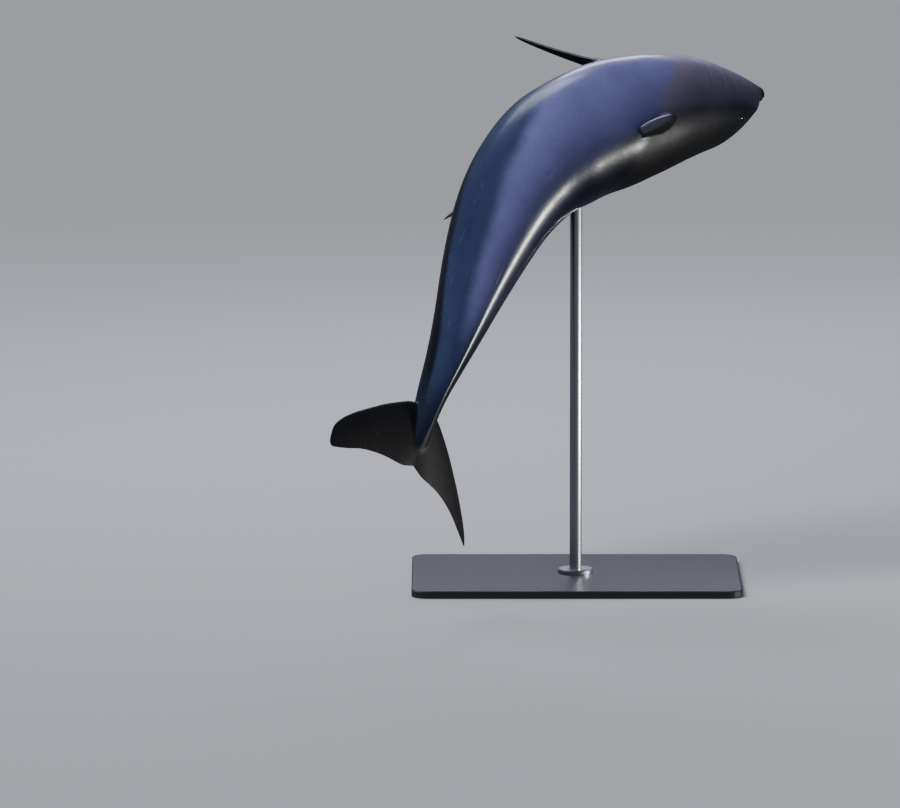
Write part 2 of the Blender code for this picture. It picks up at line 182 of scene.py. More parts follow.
# ------------------------------------------------------------------------------------------------
# How finely the skin is made
# ------------------------------------------------------------------------------------------------
COLUMNS = 72                      # from the back to the belly, on each side
TIP_RINGS = (0.0, 0.00025, 0.0006, 0.0012, 0.002, 0.003, 0.004)
HEAD_END = 0.20
HEAD_RING = 0.0010                # between rings in the head, as a share of the length
BODY_RING = 0.0042                # and behind it
HEAD_CROWDING = 0.35              # how much more the head's columns crowd to the mouth line
CROWDING_FADES = (0.15, 0.32)
FIN_ROWS = 44
FIN_CHORD_STEPS = 26
EYE_RINGS = 40
EYE_COLUMNS = 64
EYE_POLE = 0.02                   # how far from the pole the first ring lies, in radians

FLARE_REACH = 0.022               # how far out of the body a fin's root flares
FLARE_LEAD = 0.030
FLARE_TRAIL = 0.016
FLARE_THICKNESS = 0.9
FLIPPER_FLARE = 0.25
FIN_TIP_CLOSES = 0.955            # from this share of the span the tip's edges run together
FIN_TIP_MIDDLE = 0.65             # at this share of the chord

# Islands of the UV map: low corner and size
BODY_ISLAND = ((0.01, 0.01), (0.66, 0.98))
FLUKE_ISLAND = ((0.70, 0.01), (0.28, 0.30))
DORSAL_ISLAND = ((0.70, 0.34), (0.28, 0.19))
FLIPPER_ISLANDS = (((0.70, 0.56), (0.28, 0.19)), ((0.70, 0.78), (0.28, 0.19)))
EYE_ISLAND = ((0.02, 0.02), (0.96, 0.96))
FIN_ISLANDS = 0.69                # every fin's island lies beyond this
END_MARGIN = 0.004                # height of an end's fan of corners, as a share of its island

JOIN_WIDTH = 0.045                # the belt about a fin's join that gets smaller triangles
JOIN_EDGES = (0.010, 0.0075, 0.0055)
JOIN_SHARES = (0.01, 0.99)        # a vertex with some corners on a fin and some on the body
JOIN_ROUNDS = 30
JOIN_PULL = 0.6
JOIN_WEIGHT = (0.02, 0.6)
TONE_ROUNDS = 10
MERGE_DISTANCE = 0.0004
CHUNK = 8192                      # points measured at a time
# The triangles made of one with none, one, two or three of its edges halved: corners are 0 to 2,
# and the middle of the edge that follows each is 3 to 5.
SPLITS = (
    ((0, 1, 2),),
    ((0, 3, 2), (3, 1, 2)),
    ((3, 1, 4), (0, 3, 4), (0, 4, 2)),
    ((0, 3, 5), (3, 1, 4), (5, 4, 2), (3, 4, 5)),
)
JOIN_REACH = 8                    # rounds of neighbours smoothed about a fin's join


# ------------------------------------------------------------------------------------------------
# Curves
# ------------------------------------------------------------------------------------------------
def smooth(at, stations, values):
    """A cubic through the stations that never overshoots: slopes are weighted harmonic means."""
    x = np.asarray(stations, float)
    y = np.asarray(values, float)
    step = np.diff(x)
    slope = np.diff(y) / step
    tangent = np.empty_like(y)
    tangent[0] = slope[0]
    tangent[-1] = slope[-1]
    before = 2 * step[1:] + step[:-1]
    after = step[1:] + 2 * step[:-1]
    turning = slope[:-1] * slope[1:] <= 0
    safe = np.where(turning, 1.0, slope[:-1])
    safe_next = np.where(turning, 1.0, slope[1:])
    tangent[1:-1] = np.where(turning, 0.0, (before + after) / (before / safe + after / safe_next))
    at = np.clip(np.asarray(at, float), x[0], x[-1])
    cell = np.clip(np.searchsorted(x, at) - 1, 0, len(step) - 1)
    t = (at - x[cell]) / step[cell]
    return (
        y[cell] * (1 + 2 * t) * (1 - t) ** 2
        + step[cell] * tangent[cell] * t * (1 - t) ** 2
        + y[cell + 1] * t ** 2 * (3 - 2 * t)
        + step[cell] * tangent[cell + 1] * t ** 2 * (t - 1)
    )


def ease(value, start, end):
    """0 before start and 1 after end, with a smooth cubic between."""
    t = np.clip((np.asarray(value, float) - start) / (end - start), 0.0, 1.0)
    return t * t * (3 - 2 * t)


def bump(distance, width):
    """A bell: one at no distance, falling off as the exponential of the distance squared."""
    return np.exp(-(np.asarray(distance, float) / width) ** 2)


def unit(vector):
    """The vector divided by its length."""
    return vector / np.linalg.norm(vector, axis=-1, keepdims=True)


def frames(at):
    """Forward, back and right directions of the body at shares of its length."""
    climb = np.radians(smooth(at, SPINE_AT, SPINE_CLIMB))
    away = np.radians(smooth(at, SPINE_AT, SPINE_AWAY))
    roll = np.radians(smooth(at, SPINE_AT, SPINE_ROLL))[..., None]
    forward = np.stack(
        [np.cos(away) * np.cos(climb), np.sin(away), np.cos(away) * np.sin(climb)], -1
    )
    upper = np.stack([-np.sin(climb), np.zeros_like(climb), np.cos(climb)], -1)
    back = np.cos(roll) * upper + np.sin(roll) * np.cross(upper, forward)
    return forward, back, np.cross(forward, back)


STEP_AT = np.linspace(0.0, 1.0, SPINE_STEPS + 1)
SPINE_POINTS = BEAK_TIP - np.vstack(
    [np.zeros(3), np.cumsum(frames((STEP_AT[1:] + STEP_AT[:-1]) / 2)[0], axis=0)]
) * (LENGTH / SPINE_STEPS)


def spine(at):
    """Points of the spine: steps against the forward direction, added up from the beak's tip."""
    return np.stack([np.interp(at, STEP_AT, SPINE_POINTS[:, axis]) for axis in range(3)], -1)


def section(at):
    """The level, height above it, depth below it, half-width and keel of a cross-section."""
    level = LENGTH * smooth(at, OUTLINE_AT, WIDEST_LEVEL)
    above = LENGTH * smooth(at, OUTLINE_AT, BACK) - level
    below = level - LENGTH * smooth(at, OUTLINE_AT, BELLY)
    half = LENGTH * smooth(at, OUTLINE_AT, HALF_WIDTH)
    return level, above, below, half, smooth(at, KEEL_AT, KEEL)


def plain_skin(at, angle, grow=0.0):
    """Points round the spine: height is a cosine of the angle round from the back, scaled to
    the back's or the belly's height, and width a sine of it, raised to the section's keel."""
    at, angle = np.broadcast_arrays(np.asarray(at, float), np.asarray(angle, float))
    level, above, below, half, keel = section(at)
    rise = np.cos(angle)
    side = np.sign(np.sin(angle)) * np.abs(np.sin(angle)) ** keel
    height = level + np.where(rise > 0, above + grow, below + grow) * rise
    _, back, right = frames(at)
    return spine(at) + back * height[..., None] + right * ((half + grow) * side)[..., None]


# ------------------------------------------------------------------------------------------------
# Body, with the folds and openings of its head and belly
# ------------------------------------------------------------------------------------------------
def mouth_angle(at):
    """The mouth line's angle round from the back: it rises to its corner as a cubic."""
    return np.radians(MOUTH_ANGLE - MOUTH_RISE * np.clip(np.asarray(at) / JAW_END, 0, 1) ** 3)


def reach_round(at, angle, centre):
    """The distance along the skin round the section from a centre angle, in metres."""
    _, above, below, half, _ = section(at)
    radius = (np.where(np.cos(angle) > 0, above, below) + half) / 2
    return radius * (angle - centre)


def fold(size, distance):
    """A bell as high as the first number of a size and as wide as the second."""
    return size[0] * bump(distance, size[1])


def folds(at, angle):
    """How far the skin stands out from the plain body, in metres, as a sum of bells: the mouth
    line is a narrow groove between two soft lips, each eye a dimple in a raised lid, and the
    blowhole, throat creases, navel, belly slit and shoulder hollow are shallow dips."""
    turn = np.abs(angle)
    out = np.zeros(np.broadcast(at, angle).shape)
    in_mouth = ease(at, *MOUTH_STARTS) * (1 - ease(at, *MOUTH_FADES))
    from_mouth = reach_round(at, turn, mouth_angle(at))
    out -= fold(MOUTH_GROOVE, from_mouth) * in_mouth
    out += fold(LIP, np.abs(from_mouth) - LIP_FROM_MOUTH) * in_mouth
    corner = np.hypot((at - CORNER_AT) * LENGTH, from_mouth)
    out += fold(CORNER_RIDGE, corner - CORNER_RADIUS) * (at > CORNER_STARTS)

    along = (at - EYE_AT) * LENGTH
    across = reach_round(at, turn, np.radians(EYE_ANGLE))
    long, wide = EYE_MOUND_SPREAD
    out += EYE_MOUND * bump(along, long) * bump(across, wide)
    long, wide = EYE_HOLLOW_SPREAD
    almond = np.hypot(along / long, across / wide)
    out -= EYE_HOLLOW * (1 - ease(almond, *EYE_HOLLOW_EDGE))
    out += fold(LID, almond - LID_AT)
    long, wide = LID_CREASE_SPREAD
    out -= fold(LID_CREASE, np.hypot(along / long, across / wide) - 1.0)

    along = (at - BLOWHOLE_AT) * LENGTH
    across = reach_round(at, turn, 0.0)
    out += fold(BLOWHOLE_MOUND, np.hypot(along, across))
    from_groove = along - BLOWHOLE_SET_BACK + BLOWHOLE_BOW * across ** 2
    out -= fold(BLOWHOLE_GROOVE, from_groove) * bump(across, BLOWHOLE_HALF)

    crease = at + CREASE_SLANT * np.cos(2 * angle)
    for place, depth in THROAT_CREASES:
        out -= fold((depth, CREASE_HALF), (crease - place) * LENGTH) * ease(turn, *CREASE_STARTS)
    belly = reach_round(at, turn, np.pi)
    out -= fold(NAVEL, np.hypot((at - NAVEL_AT) * LENGTH / NAVEL_LENGTHENING, belly))
    in_slit = ease(at, *BELLY_SLIT_STARTS) * (1 - ease(at, *BELLY_SLIT_FADES))
    out -= fold(BELLY_SLIT, belly) * in_slit
    shoulder = reach_round(at, turn, np.radians(SHOULDER_ANGLE))
    out -= fold(SHOULDER_HOLLOW, shoulder) * bump(at - SHOULDER_AT, SHOULDER_REACH)
    return out


def body_grid():
    """Rings along the spine, closer in the head, and columns round from the back to the belly
    that crowd towards the mouth line as a power of their share."""
    head = np.arange(0.0, HEAD_END, HEAD_RING)
    rings = np.concatenate([
        TIP_RINGS, head[head > TIP_RINGS[-1] + HEAD_RING / 2],
        np.arange(HEAD_END, OUTLINE_AT[-1], BODY_RING), OUTLINE_AT[-1:],
    ])
    at = rings[:, None]
    power = 1 + HEAD_CROWDING * (1 - ease(at, *CROWDING_FADES))
    mouth = np.where(at < JAW_END, mouth_angle(at), np.radians(MOUTH_ANGLE - MOUTH_RISE))
    share = np.linspace(0.0, 1.0, COLUMNS + 1)[None, :]
    above = mouth * (1 - np.clip(1 - 2 * share, 0, 1) ** power)
    below = (np.pi - mouth) * np.clip(2 * share - 1, 0, 1) ** power
    half = above + below
    angle = np.hstack([-half[:, :0:-1], half[:, :-1]])
    return np.broadcast_to(at, angle.shape), angle


def body_points(at, angle):
    """The plain skin, moved out by the folds along the way each point looks from its spine."""
    plain = plain_skin(at, angle)
    outward = unit(plain_skin(at, angle, 0.01) - plain)
    return plain + outward * folds(at, angle)[..., None]


# ------------------------------------------------------------------------------------------------
# Fins
# ------------------------------------------------------------------------------------------------
def aerofoil(share):
    """Half a fin's thickness along its chord: a root and four powers, one at its thickest."""
    return (
        1.4845 * np.sqrt(share) - 0.63 * share - 1.758 * share ** 2
        + 1.4215 * share ** 3 - 0.518 * share ** 4
    ) * 2.0


def fin_section(rows, shape, flare):
    """Leading and trailing edges and half-thickness at shares of the span: smooth curves, run
    together as a quarter ellipse in the last of the tip, and flared at the root as a decaying
    exponential of the distance out of the body."""
    lead = LENGTH * smooth(rows, shape["at"], shape["lead"])
    trail = LENGTH * smooth(rows, shape["at"], shape["trail"])
    thick = LENGTH * smooth(rows, shape["at"], shape["thick"])
    spread = np.exp(-np.clip(LENGTH * shape["span"] * rows, 0, None) / FLARE_REACH) * flare
    lead = lead - FLARE_LEAD * spread
    trail = trail + FLARE_TRAIL * spread
    thick = thick * (1 + FLARE_THICKNESS * spread)
    past = np.clip(rows - FIN_TIP_CLOSES, 0, None) / (FIN_TIP - FIN_TIP_CLOSES)
    close = np.sqrt(np.clip(1 - past ** 2, 0, 1))
    middle = lead + FIN_TIP_MIDDLE * (trail - lead)
    return middle + (lead - middle) * close, middle + (trail - middle) * close, thick * close


def fin_points(rows, shape, root, chord, span, normal, bend, twist, side, flare):
    """Rings from root to tip: chord times distance back, span times distance out, and normal
    times thickness, bent over as the square of the share and twisted in proportion to it."""
    share = (1 - np.cos(np.linspace(0, np.pi, FIN_CHORD_STEPS + 1))) / 2
    lead, trail, thick = fin_section(np.abs(rows), shape, flare)
    upper = np.maximum(aerofoil(share), 0.0)
    edge = FIN_EDGE * np.minimum(1, thick / 0.0015)[:, None] * np.sqrt(share)[None, :]
    offset = upper[None, :] * thick[:, None] + edge
    along = lead[:, None] + (trail - lead)[:, None] * share[None, :]
    along = np.hstack([along, along[:, -2:0:-1]])
    over = LENGTH * bend * np.clip(rows, 0, None) ** 2
    offset = np.hstack([offset, -offset[:, -2:0:-1]]) + over[:, None]
    turn = (np.radians(twist) * np.abs(rows))[:, None, None]
    return (
        root
        + along[..., None] * (np.cos(turn) * chord + np.sin(turn) * normal)
        + (LENGTH * shape["span"] * rows * side)[:, None, None] * span
        + offset[..., None] * normal
    )


def span_rows(start):
    """Shares of the span from the root, drawn together towards the tip as a sine."""
    return start + (FIN_TIP - start) * np.sin(np.linspace(0, np.pi / 2, FIN_ROWS))


def turned(vector, axis, degrees):
    """A vector turned about an axis: its part along the axis stays, and the rest swings round."""
    angle = np.radians(degrees)
    return (
        vector * np.cos(angle)
        + np.cross(axis, vector) * np.sin(angle)
        + axis * (vector @ axis) * (1 - np.cos(angle))
    )


def dorsal_fin_points():
    """The fin on the back's middle line: its chord runs back and its span away from the back."""
    forward, back, right = frames(np.array(DORSAL_FIN_AT))
    root = plain_skin(DORSAL_FIN_AT, 0.0)
    rows = span_rows(DORSAL_FIN["root"])
    return fin_points(
        rows, DORSAL_FIN, root, -forward, back, right, DORSAL_FIN["bend"], 0.0, 1.0, 1.0
    )


def flipper_points(hold):
    """A flipper: its span points out at an angle round from the back and is swept back, and its
    chord, square to the span, is turned about it by the feather angle."""
    _, side, points_to, sweep, feather, bend = hold
    forward, back, right = frames(np.array(FLIPPER_AT))
    angle = np.radians(points_to)
    outward = np.cos(angle) * back + side * np.sin(angle) * right
    span = np.cos(np.radians(sweep)) * outward - np.sin(np.radians(sweep)) * forward
    chord = unit(-forward - (-forward @ span) * span)
    chord = turned(chord, span, side * feather)
    normal = side * np.cross(span, chord)
    root = plain_skin(FLIPPER_AT, side * np.radians(FLIPPER_ROOT_ANGLE))
    rows = span_rows(FLIPPER["root"])
    return fin_points(rows, FLIPPER, root, chord, span, normal, bend, 0.0, 1.0, FLIPPER_FLARE)


def fluke_points():
    """Both lobes as one run of rings, from the left tip through the notch to the right tip."""
    forward, back, right = frames(np.array(FLUKE_AT))
    half = span_rows(0.0)
    halves = []
    for side in (-1.0, 1.0):
        rings = fin_points(
            half, FLUKE, spine(np.array(FLUKE_AT)), -forward, right, back,
            FLUKE_BEND[side], FLUKE_TWIST[side], side, 0.0,
        )
        halves.append(rings)
    return np.concatenate([halves[0][::-1], halves[1][1:]])


# ------------------------------------------------------------------------------------------------
# Meshes
# ------------------------------------------------------------------------------------------------
def put_in(name, data):
    made = bpy.data.objects.new(name, data)
    bpy.context.scene.collection.objects.link(made)
    return made


def read(items, name, width, kind=np.float32):
    """One property of all of a mesh's items, as an array of rows of this width."""
    values = np.empty(len(items) * width, kind)
    items.foreach_get(name, values)
    return values.reshape(-1, width)


def store(mesh, name, values):
    layer = mesh.attributes.new(name, "FLOAT", "POINT")
    layer.data.foreach_set("value", np.asarray(values, np.float32))


def tube(name, rings, island):
    """A closed surface through rings of points: four-cornered faces between rings, and a fan of
    triangles to the middle of each end ring. island is its low corner and size in the UV map."""
    rows, around, _ = rings.shape
    ends = np.stack([rings[0].mean(axis=0), rings[-1].mean(axis=0)])
    points = np.vstack([rings.reshape(-1, 3), ends])
    row, column = np.meshgrid(np.arange(rows - 1), np.arange(around), indexing="ij")
    beside = (column + 1) % around
    quads = np.stack([
        row * around + column, row * around + beside,
        (row + 1) * around + beside, (row + 1) * around + column,
    ], -1).reshape(-1, 4)
    across = np.stack([column, column + 1, column + 1, column], -1) / around
    down = np.stack([row, row, row + 1, row + 1], -1) / (rows - 1)
    quad_uv = np.stack([across, down], -1).reshape(-1, 2)
    one = np.arange(around)
    two = (one + 1) % around
    last = (rows - 1) * around
    fans = np.vstack([
        np.stack([np.full(around, len(points) - 2), two, one], -1),
        np.stack([np.full(around, len(points) - 1), last + one, last + two], -1),
    ])
    flat = np.zeros(around)
    fan_uv = np.vstack([
        np.stack([np.stack([one + 0.5, one + 1, one], -1) / around,
                  np.stack([flat - END_MARGIN, flat, flat], -1)], -1).reshape(-1, 2),
        np.stack([np.stack([one + 0.5, one, one + 1], -1) / around,
                  np.stack([flat + 1 + END_MARGIN, flat + 1, flat + 1], -1)], -1).reshape(-1, 2),
    ])
    mesh = bpy.data.meshes.new(name)
    mesh.from_pydata(points.tolist(), [], quads.tolist() + fans.tolist())
    layer = mesh.uv_layers.new(name="OFBake")
    corner, size = island
    uv = np.array(corner) + np.vstack([quad_uv, fan_uv]) * np.array(size)
    layer.uv.foreach_set("vector", uv.astype(np.float32).ravel())
    work = bmesh.new()
    work.from_mesh(mesh)
    bmesh.ops.remove_doubles(work, verts=work.verts, dist=1e-6)
    bmesh.ops.recalc_face_normals(work, faces=work.faces)
    work.to_mesh(mesh)
    work.free()
    return put_in(name, mesh)


def fin_share(mesh):
    """The share of each vertex's corners that lie in a fin's island of the UV map."""
    uv = read(mesh.uv_layers["OFBake"].uv, "vector", 2)
    corner = read(mesh.loops, "vertex_index", 1, np.int32)[:, 0]
    count = len(mesh.vertices)
    on_fin = np.bincount(corner, uv[:, 0] > FIN_ISLANDS, count)
    return on_fin / np.maximum(np.bincount(corner, minlength=count), 1)


def at_join(share):
    """Whether a vertex has corners both on a fin and on the body."""
    return (share > JOIN_SHARES[0]) & (share < JOIN_SHARES[1])


def nearest_squared(points, others):
    """The squared distance from each point to the nearest of the others, by the squares' rule."""
    sizes = (others ** 2).sum(axis=1)
    return np.concatenate([
        (part ** 2).sum(axis=1) + (sizes - 2 * part @ others.T).min(axis=1)
        for part in np.split(points, range(CHUNK, len(points), CHUNK))
    ])


def split_long(points, faces, uv, near, longest):
    """Halves every long edge near the joins. A face with one, two or three such edges is turned
    into two, three or four, and its corners in the UV map are halved the same way."""
    ends = np.stack([faces, np.roll(faces, -1, axis=1)], -1)
    edges, which = np.unique(np.sort(ends, -1).reshape(-1, 2), axis=0, return_inverse=True)
    which = which.reshape(-1, 3)
    length = np.linalg.norm(points[edges[:, 0]] - points[edges[:, 1]], axis=1)
    long = (length > longest) & near[edges].all(axis=1)
    middle = len(points) + np.cumsum(long) - 1
    cut = long[which]
    count = cut.sum(axis=1)
    shift = np.where(count == 2, np.argmin(cut, axis=1) + 1, np.argmax(cut, axis=1))
    turn = (np.arange(3) + shift[:, None]) % 3
    faces = np.take_along_axis(faces, turn, 1)
    uv = np.take_along_axis(uv, turn[:, :, None], 1)
    nodes = np.hstack([faces, np.take_along_axis(middle[which], turn, 1)])
    node_uv = np.hstack([uv, (uv + np.roll(uv, -1, axis=1)) / 2])
    points = np.vstack([points, points[edges[long]].mean(axis=1)])
    made = [(nodes[count == many][:, pattern].reshape(-1, 3),
             node_uv[count == many][:, pattern].reshape(-1, 3, 2))
            for many, pattern in enumerate(map(np.array, SPLITS))]
    return points, np.vstack([pair[0] for pair in made]), np.vstack([pair[1] for pair in made])


def even_out(mesh):
    """The mesh again as triangles, with small ones near the joins, so that smoothing acts evenly."""
    points = read(mesh.vertices, "co", 3).astype(float)
    faces = read(mesh.loops, "vertex_index", 1, np.int32).reshape(-1, 3)
    uv = read(mesh.uv_layers["OFBake"].uv, "vector", 2).reshape(-1, 3, 2).astype(float)
    joins = points[at_join(fin_share(mesh))]
    for longest in JOIN_EDGES:
        near = nearest_squared(points, joins) < JOIN_WIDTH ** 2
        points, faces, uv = split_long(points, faces, uv, near, longest)
    finer = bpy.data.meshes.new("skin")
    finer.from_pydata(points.tolist(), [], faces.tolist())
    finer.uv_layers.new(name="OFBake").uv.foreach_set("vector", uv.astype(np.float32).ravel())
    return finer


def joined(body, fins):
    """The body with each fin let into it, as one closed mesh."""
    for fin in fins:
        modifier = body.modifiers.new("let_in_" + fin.name, "BOOLEAN")
        modifier.operation = "UNION"
        modifier.solver = "EXACT"
        modifier.object = fin
    bpy.context.view_layer.update()
    whole = body.evaluated_get(bpy.context.evaluated_depsgraph_get())
    mesh = bpy.data.meshes.new_from_object(whole)
    body.modifiers.clear()
    body.data = mesh
    for fin in fins:
        bpy.data.objects.remove(fin, do_unlink=True)
    work = bmesh.new()
    work.from_mesh(mesh)
    bmesh.ops.remove_doubles(work, verts=work.verts, dist=MERGE_DISTANCE)
    bmesh.ops.triangulate(work, faces=work.faces)
    work.to_mesh(mesh)
    work.free()
    body.data = even_out(mesh)
    return body.data


def neighbour_mean(values, ends, count):
    """Each vertex's mean over the vertices it shares an edge with."""
    total = np.zeros((count, values.shape[1]))
    for axis in range(values.shape[1]):
        total[:, axis] = np.bincount(ends[:, 0], values[ends[:, 1], axis], count)
        total[:, axis] += np.bincount(ends[:, 1], values[ends[:, 0], axis], count)
    degree = np.bincount(ends.ravel(), minlength=count)
    return total / np.maximum(degree, 1)[:, None]


def smooth_joins(mesh):
    """Draws each vertex near a join towards its neighbours' mean, in rounds, by a weight that
    is one at the join and falls to nothing JOIN_REACH edges away. Stores how much of a fin each
    vertex is, softened in the same way, and returns the points."""
    count = len(mesh.vertices)
    points = read(mesh.vertices, "co", 3).astype(float)
    ends = read(mesh.edges, "vertices", 2, np.int32)
    share = fin_share(mesh)
    weight = at_join(share).astype(float)[:, None]
    for _ in range(JOIN_REACH):
        weight = np.maximum(weight, neighbour_mean(weight, ends, count))
    weight = ease(weight, *JOIN_WEIGHT)
    for _ in range(JOIN_ROUNDS):
        points += JOIN_PULL * weight * (neighbour_mean(points, ends, count) - points)
    mesh.vertices.foreach_set("co", points.astype(np.float32).ravel())
    fin = (share > 0.5).astype(float)[:, None]
    for _ in range(TONE_ROUNDS):
        fin = (fin + neighbour_mean(fin, ends, count)) / 2
    store(mesh, "fin", fin[:, 0])
    mesh.update()
    return points


def along_body(points):
    """Each point's share of the length and its angle round from the back, from the spine point
    nearest to it and the body's directions there."""
    rough_at = STEP_AT[::4]
    rough = SPINE_POINTS[::4]
    at = np.concatenate([
        rough_at[((part[:, None, :] - rough) ** 2).sum(axis=2).argmin(axis=1)]
        for part in np.split(points, range(CHUNK, len(points), CHUNK))
    ])
    for _ in range(2):
        forward, _, _ = frames(at)
        at = np.clip(at - ((points - spine(at)) * forward).sum(axis=1) / LENGTH, 0.0, 1.0)
    _, back, right = frames(at)
    rest = points - spine(at)
    return at, np.arctan2((rest * right).sum(axis=1), (rest * back).sum(axis=1))


# ------------------------------------------------------------------------------------------------
# Markings, and painted shade along the mouth. Edges are angles round from the back, in degrees, at
# places along the body.
# ------------------------------------------------------------------------------------------------
CAPE_AT = (0.0, 0.12, 0.3, 0.4, 0.52, 0.7, 0.85, 1.0)
CAPE_EDGE = (86, 92, 100, 96, 78, 82, 110, 150)
CAPE_SOFT = (-16, 18)
PALE_AT = (0.0, 0.10, 0.2, 0.32, 0.42, 0.55, 0.75, 0.88)
PALE_EDGE = (108, 118, 124, 126, 136, 142, 146, 170)
PALE_SOFT_AT = (0.0, 0.25, 0.35, 0.45, 1.0)
PALE_SOFT = (17, 14, 8, 16, 22)
PALE_FADES = (0.68, 0.88)
WARM_FADES = (0.240, 0.302)             # at WARM_ANGLE, and further back nearer the back
WARM_ANGLE = 150
WARM_SLANT = 0.0014
STRIPE_HALF = 0.016
STRIPE_STARTS = (0.045, 0.09)
STRIPE_FADES = (0.14, 0.19)
RING_RADIUS = 0.026
LINE_BELOW_EYE = 2.0
# The lip line: a dark line along the mouth groove, painted shade in the crease.
LIP_SHADE_HALF = 0.0042
LIP_SHADE_STARTS = (0.003, 0.010)
LIP_SHADE_FADES = (JAW_END - 0.004, JAW_END + 0.002)
NOSE_FADES = (0.016, 0.048)
STRIPE_DEPTH, RING_DEPTH, NOSE_DEPTH = 0.55, 0.8, 0.9
TAIL_STARTS = (0.80, 0.97)


def add_markings(mesh, points):
    """Shares from 0 to 1 for the skin's tones, as smooth steps and bells of the station and the
    angle round from the back: a dark cape, a pale belly and throat, a warm head, dark lines;
    the dark line along the mouth groove is painted shade."""
    at, angle = along_body(points)
    round_from_back = np.abs(angle)
    turn = np.degrees(round_from_back)
    cape_edge = smooth(at, CAPE_AT, CAPE_EDGE)
    cape = 1 - ease(turn, cape_edge + CAPE_SOFT[0], cape_edge + CAPE_SOFT[1])
    pale_edge = smooth(at, PALE_AT, PALE_EDGE)
    soft = smooth(at, PALE_SOFT_AT, PALE_SOFT)
    pale = ease(turn, pale_edge - soft, pale_edge + soft) * (1 - ease(at, *PALE_FADES))
    warm = 1 - ease(at + WARM_SLANT * (turn - WARM_ANGLE), *WARM_FADES)
    from_eye = reach_round(at, round_from_back, np.radians(EYE_ANGLE + LINE_BELOW_EYE))
    stripe = bump(from_eye, STRIPE_HALF) * ease(at, *STRIPE_STARTS) * (1 - ease(at, *STRIPE_FADES))
    ring = bump(np.hypot((at - EYE_AT) * LENGTH, from_eye), RING_RADIUS)
    in_mouth = ease(at, *LIP_SHADE_STARTS) * (1 - ease(at, *LIP_SHADE_FADES))
    # Painted shade along the mouth groove.
    lips = bump(reach_round(at, round_from_back, mouth_angle(at)), LIP_SHADE_HALF) * in_mouth
    nose = 1 - ease(at, *NOSE_FADES)
    line = STRIPE_DEPTH * stripe + RING_DEPTH * ring + lips + NOSE_DEPTH * nose
    for name, values in (
        ("station", at), ("turn", turn / 180), ("cape", cape), ("pale", pale), ("warm", warm),
        ("line", np.clip(line, 0, 1)), ("tail", ease(at, *TAIL_STARTS)),
    ):
        store(mesh, name, values)


# ------------------------------------------------------------------------------------------------
# Materials. A pattern is a noise's scale, detail and roughness; a pair is where a step starts and
# is whole.
# ------------------------------------------------------------------------------------------------
# Grey countershading tones with a blue tint added: the grey steps are the skin's own, the blue tint
# is painted reflection of a blue sky on wet skin.
FLANK_WITH_SKY_TINT = (0.025, 0.035, 0.084)
CAPE = (0.005, 0.006, 0.009)
PALE_WITH_SKY_TINT = (0.128, 0.130, 0.300)
WARM_TINT = (1.25, 1.05, 0.70)
TAIL_STOCK_WITH_SKY_TINT = (0.011, 0.014, 0.030)
FIN_DARK = (0.009, 0.009, 0.011)
# Partly the flippers' paler underside, partly painted light: the near flipper's face is lightened so
# that it looks sunlit.
FIN_PALE_AND_LIT = (0.22, 0.215, 0.30)
FACE_LINE_AND_SHADE = (0.006, 0.006, 0.007)
# Painted shade inside the blowhole's slit.
BLOWHOLE_SHADE = (0.004, 0.004, 0.005)
SCRATCH = (0.16, 0.16, 0.22)
PUPIL = (0.002, 0.002, 0.003)
IRIS = (0.016, 0.009, 0.006)
EYE_RIM = (0.008, 0.007, 0.007)
STEEL = (0.60, 0.61, 0.63)
PAINT = (0.022, 0.023, 0.025)
FLOOR = (0.46, 0.46, 0.47)

MOTTLE = (7.0, 4.0, 0.6)
GRAIN = (60.0, 3.0, 0.6)
SCRATCHES = (34.0, 2.0, 0.5)
CLOUDS = (3.2, 3.0, 0.55)
SWELLS = (26.0, 3.0, 0.55)
RIPPLES = (150.0, 2.0, 0.5)
ORANGE_PEEL = (240.0, 2.0, 0.5)

UNEVEN = 0.5                            # how far the mottling moves a marking's edge
CAPE_STEP = (0.1, 0.9)
PALE_STEP = (0.10, 0.95)
WARM_STEP = (0.2, 0.8)
WARM_UNEVEN = 1.6
# Where the fins turn pale and painted lit, as a step of the pale mask.
FIN_PALE_AND_LIT_STEP = (0.3, 1.0)
FIN_STEP = (0.25, 0.95)
LINE_SHARE = 0.85
BLOWHOLE_RADIUS = 0.165
BLOWHOLE_SLOT = (0.0055, 0.002)         # in metres from the slot's middle, and then to its ends
BLOWHOLE_ENDS = (0.026, 0.016)
SCRATCH_STRETCH = (1.0, 1.0, 0.16)
SCRATCH_STEP = (0.665, 0.70)
SCRATCH_SHARE = 0.10
FINE_SHADE = (0.24, 0.88)               # a share of the noise, and what is added to it
CLOUD_SHADE = (0.9, 0.50)
BLADE_STEP = (0.2, 0.9)
DULL_STEP = (0.0, 0.8)
ROUGHNESS = (0.16, 0.24)
FIN_ROUGHER = 0.22
HEAD_ROUGHER = 0.16
WETNESS = (0.30, 0.10)
SWELL_RELIEF = (0.0012, 0.5)            # height in metres, and strength
RIPPLE_RELIEF = (0.0004, 0.4)
BLOWHOLE_RELIEF = (0.004, 0.6)


